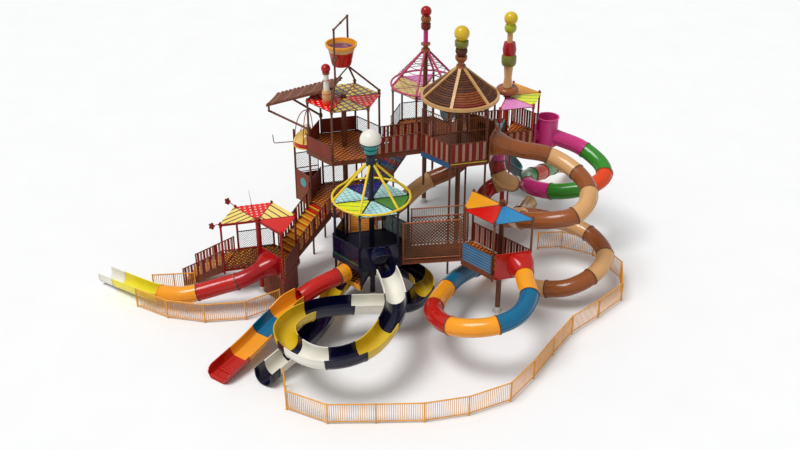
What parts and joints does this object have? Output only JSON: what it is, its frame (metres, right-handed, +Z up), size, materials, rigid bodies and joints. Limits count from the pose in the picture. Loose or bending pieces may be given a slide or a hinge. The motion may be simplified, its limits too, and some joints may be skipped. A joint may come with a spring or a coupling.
{
  "type": "water slide tower",
  "caption": "Water play plant of hexagonal towers on a triangular grid, joined by stairs and bridges, with tube slides, open flumes, a tipping bucket and low fences.",
  "frame": {"origin": "on the ground, at the underside of the foot plate of the navy tower's middle column", "axes": "+Z up; +X to the right along the plant's long side, seen from the front fence; +Y away from the front fence"},
  "size_m": [27.1165, 23.3253, 13.29],
  "materials": {
    "brown_moulding": "gloss",
    "brown_steel": "satin",
    "deck_board": "satin",
    "grey_moulding": "gloss",
    "navy_moulding": "gloss",
    "navy_steel": "satin",
    "orange_moulding": "gloss",
    "orange_steel": "satin",
    "picket_red": "satin",
    "pink_moulding": "gloss",
    "pink_steel": "satin",
    "red_moulding": "gloss",
    "red_steel": "satin",
    "roof_board": "matte",
    "roof_pane": "gloss",
    "tan_moulding": "gloss",
    "walk_board": "satin",
    "white_moulding": "gloss",
    "yellow_steel": "satin"
  },
  "bodies": {
    "plant": {"awning": "roof_board", "back_deck": "picket_red", "back_finial": "brown_moulding", "back_left_fence": "orange_steel", "back_roof": "roof_pane", "back_tower_frame": "red_steel", "bucket_cone_bridge": "picket_red", "bucket_finial": "red_moulding", "bucket_gantry": "brown_steel", "bucket_lower_deck": "picket_red", "bucket_navy_bridge": "walk_board", "bucket_roof": "roof_pane", "bucket_side_bay": "brown_steel", "bucket_tower_frame": "brown_steel", "bucket_upper_deck": "picket_red", "cone_deck": "picket_red", "cone_finial": "brown_moulding", "cone_pink_bridge": "walk_board", "cone_roof": "roof_board", "cone_tower_frame": "brown_steel", "cone_tube_slide": "brown_moulding", "entry_stair": "walk_board", "front_fence": "orange_steel", "grey_lane": "grey_moulding", "left_fence": "orange_steel", "long_stair": "walk_board", "low_deck": "picket_red", "low_roof": "red_moulding", "low_tower_frame": "brown_steel", "low_tube_slide": "orange_moulding", "middle_tube_slide": "tan_moulding", "navy_deck": "navy_steel", "navy_entry_hood": "brown_steel", "navy_finial": "white_moulding", "navy_flume": "navy_moulding", "navy_lower_deck": "deck_board", "navy_roof_panes": "roof_pane", "navy_roof_ribs": "yellow_steel", "navy_tower_frame": "navy_steel", "net_bridge": "brown_steel", "orange_lane": "orange_moulding", "orange_lane_tube": "orange_moulding", "pink_back_bridge": "walk_board", "pink_deck": "picket_red", "pink_finial": "brown_moulding", "pink_roof_panes": "roof_pane", "pink_roof_ribs": "pink_steel", "pink_tower_frame": "brown_steel", "pink_tube_slide": "pink_moulding", "plank_bridge": "brown_steel", "red_deck": "picket_red", "red_roof": "red_moulding", "red_slide": "red_moulding", "red_slide_runout": "red_moulding", "red_store_walls": "red_steel", "red_tower_frame": "red_steel", "spiral_tube_slide": "tan_moulding"},
    "bucket": {"bucket": "red_moulding"}
  },
  "joints": [
    {"name": "bucket_tip", "type": "hinge", "parent": "plant", "child": "bucket", "pos_m": [-1.47, 3.755, 11.75], "axis": [0.2756, 0.9613, 0], "range_deg": [0, 100]}
  ]
}
